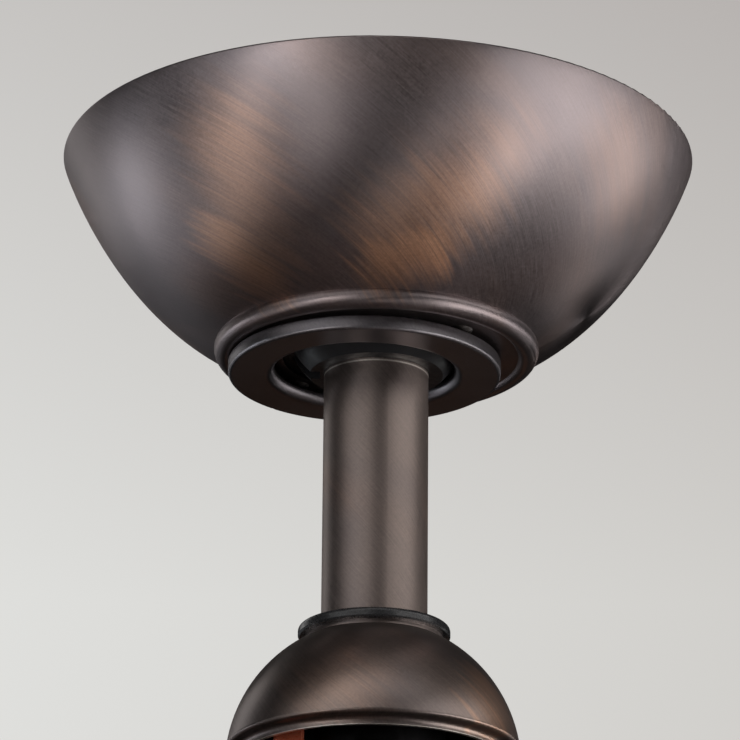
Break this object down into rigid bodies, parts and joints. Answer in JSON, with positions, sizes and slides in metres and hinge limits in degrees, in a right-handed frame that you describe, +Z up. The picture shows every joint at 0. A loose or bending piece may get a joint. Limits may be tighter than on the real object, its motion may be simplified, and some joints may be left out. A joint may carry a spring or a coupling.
{
  "type": "ceiling fan with light",
  "caption": "Ceiling fan: bowl canopy, hanging ball, short downrod with dome cover, motor housing, wooden blades on irons and a glass bowl light.",
  "frame": {"origin": "where the fan's axis meets the ceiling, at the top face of the hanger bracket's plate", "axes": "+Z up into the ceiling, along the downrod; the gap between two blades faces -Y; the hanger bracket's plate runs along Y"},
  "size_m": [1.2731, 1.2154, 0.395],
  "materials": {
    "bronze": "oil-rubbed bronze coat with brushing and coppery worn patches",
    "bronze_rod": "same bronze coat on pipe",
    "zinc": "zinc-plated pressed steel",
    "steel": "bright steel",
    "dark_screw": "blackened screw",
    "ball_black": "black moulded plastic with slight gloss",
    "rubber": "black rubber",
    "lead": "insulated wire",
    "nut_orange": "moulded plastic",
    "red_brown": "red-brown moulded plastic",
    "cast": "die-cast aluminium",
    "laminate": "laminated electrical steel",
    "copper": "enamelled copper wire",
    "wood": "dark walnut veneer",
    "fibre": "red fibre washer",
    "board": "white solder mask",
    "led": "yellow phosphor",
    "white_case": "white moulded case",
    "black_case": "black moulded case",
    "glass": "frosted warm white glass"
  },
  "bodies": {
    "ceiling": {"hanger_bracket": "zinc", "ground_screw": "steel", "canopy": "bronze", "canopy_screws": "dark_screw", "canopy_trim_ring": "bronze", "ring_magnets": "steel"},
    "hanging": {"hanger_ball": "ball_black", "ball_cross_pin": "steel", "ball_set_screw": "steel", "downrod": "bronze_rod", "lead_wires": "lead", "rod_grommet": "rubber", "wire_nuts": "nut_orange", "coupling": "zinc", "clevis_pin": "steel", "cotter_pin": "steel", "coupling_screws": "steel", "lead_connector": "red_brown", "motor_shaft": "steel", "shaft_spacers": "steel", "bearing_inner_races": "steel", "bearing_balls": "steel", "stator_hub": "cast", "stator_core": "laminate", "stator_winding": "copper", "carrier_plate": "zinc", "shaft_nut": "steel", "switch_cup": "bronze", "cup_screws": "dark_screw", "switch_body": "black_case", "capacitor": "black_case", "nipple": "steel", "nipple_nuts": "steel", "light_pan": "bronze", "standoffs": "steel", "heat_sink": "cast", "led_board": "board", "board_screws": "steel", "leds": "led", "led_driver": "white_case"},
    "cover": {"dome_cover": "bronze", "cover_grommet": "rubber"},
    "rotor": {"bearing_outer_races": "steel", "upper_bell": "cast", "lower_bell": "cast", "rotor_cage": "laminate", "bell_screws": "steel", "housing_crown": "bronze", "crown_screws": "dark_screw", "housing_drum": "bronze", "drum_screws": "steel", "blade_irons": "bronze", "iron_screws": "dark_screw", "blades": "wood", "blade_screws": "dark_screw", "blade_washers": "fibre"},
    "switch": {"switch_slider": "black_case"},
    "glass": {"glass_bowl": "glass"}
  },
  "joints": [
    {"name": "ball_swing", "type": "hinge", "parent": "ceiling", "child": "hanging", "pos_m": [0, 0, -0.04], "axis": [0, 1, 0], "range_deg": [-15, 15]},
    {"name": "cover_lift", "type": "slide", "parent": "hanging", "child": "cover", "axis": [0, 0, 1], "range_m": [0, 0.045]},
    {"name": "rotor_spin", "type": "hinge", "parent": "hanging", "child": "rotor", "pos_m": [0, 0, -0.2145], "axis": [0, 0, 1], "continuous": true},
    {"name": "reverse_slide", "type": "slide", "parent": "hanging", "child": "switch", "axis": [0, 0, 1], "range_m": [-0.0025, 0.0025]},
    {"name": "glass_twist", "type": "hinge", "parent": "hanging", "child": "glass", "pos_m": [0, 0, -0.321], "axis": [0, 0, 1], "range_deg": [0, 20]}
  ]
}
